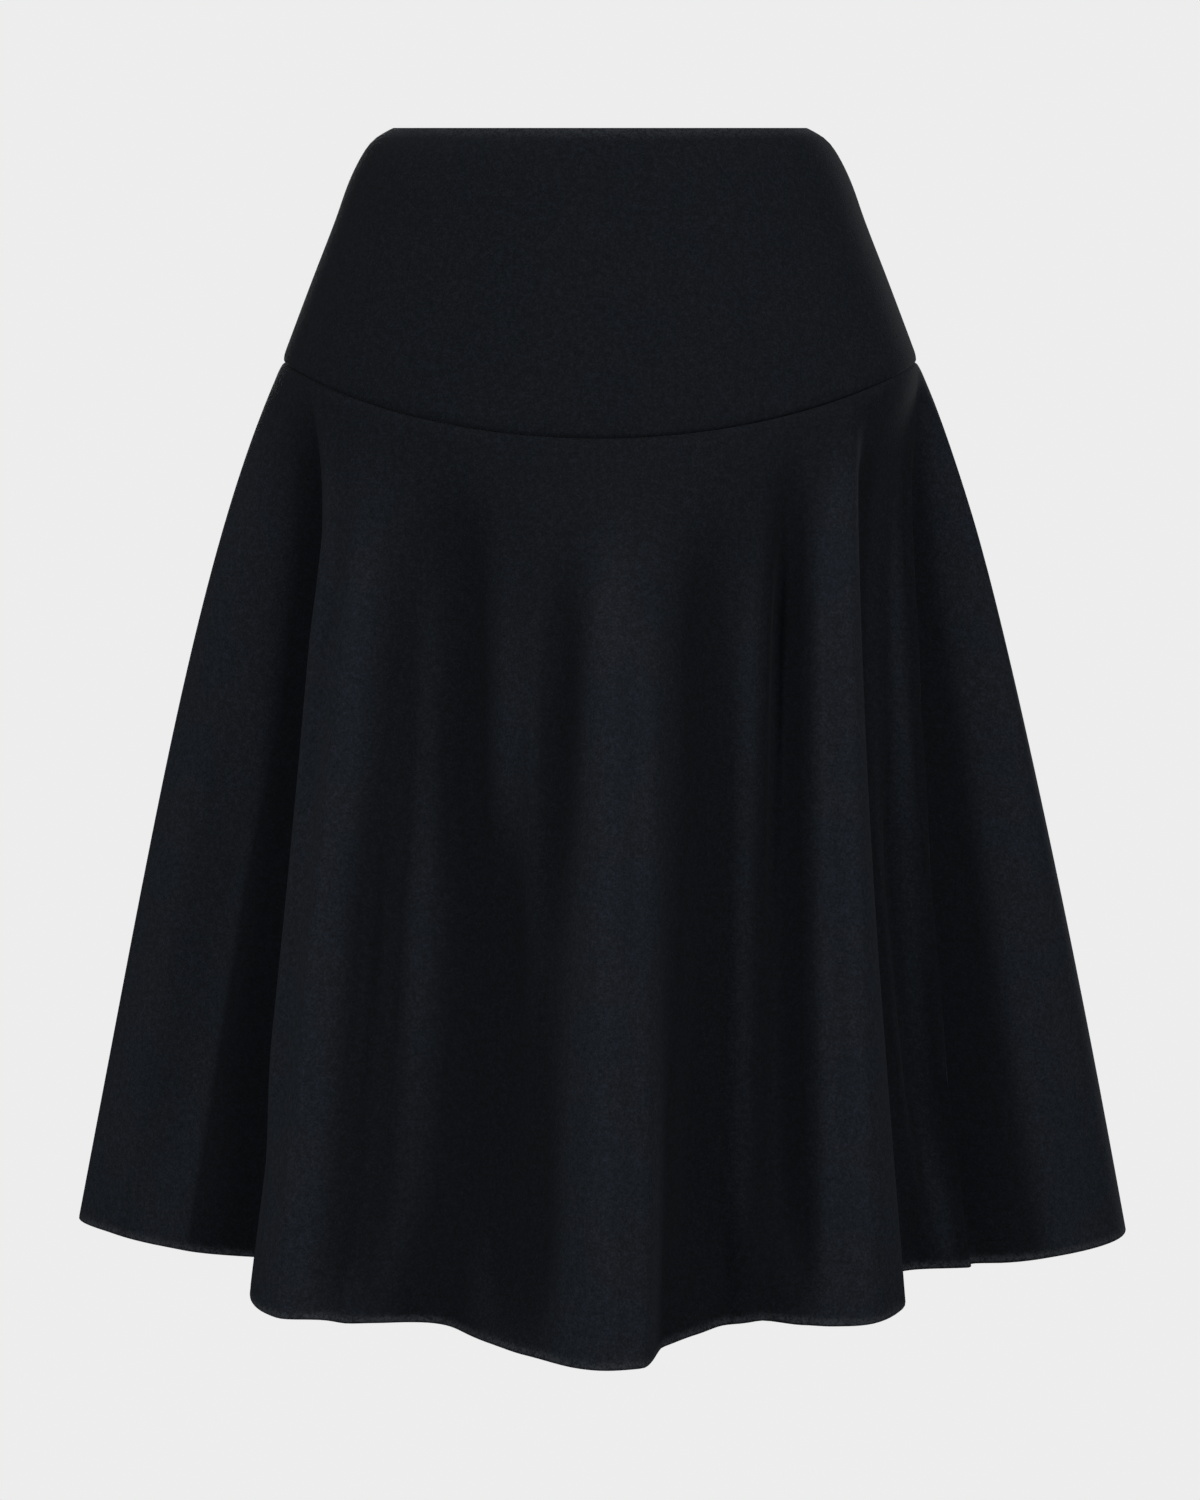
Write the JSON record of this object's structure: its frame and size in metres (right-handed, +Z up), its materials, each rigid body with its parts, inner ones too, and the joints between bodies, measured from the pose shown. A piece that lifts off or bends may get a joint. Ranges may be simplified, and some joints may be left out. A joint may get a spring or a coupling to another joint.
{
  "type": "skater skirt",
  "caption": "Knee-length skater skirt in thick dark felted wool: a fitted hip yoke with a curved seam over a flared lower part in deep soft folds, filled out as if worn, zip behind.",
  "frame": {"origin": "centre of the waist opening, level with the waist's top edge, where the skirt is held on the body", "axes": "+Z up, -Y to the front of the skirt, +X to the wearer's left"},
  "size_m": [0.6113, 0.5486, 0.6327],
  "materials": {
    "felted_wool": "matte, dense felted surface with fine fuzz",
    "zip_tape": "matte, fine woven tape",
    "painted_zinc": "satin"
  },
  "bodies": {
    "skirt": {"front_yoke": "felted_wool", "back_yoke_left": "felted_wool", "back_yoke_right": "felted_wool", "front_skirt": "felted_wool", "back_skirt_left": "felted_wool", "back_skirt_right": "felted_wool", "zip_tape_left": "zip_tape", "zip_tape_right": "zip_tape", "zip_slider": "painted_zinc"},
    "zip_pull": {"zip_pull": "painted_zinc"}
  },
  "joints": [
    {"name": "zip_pull_swing", "type": "hinge", "parent": "skirt", "child": "zip_pull", "pos_m": [0, 0.09943, -0.01202], "axis": [1, 0, 0], "range_deg": [0, 150]}
  ]
}
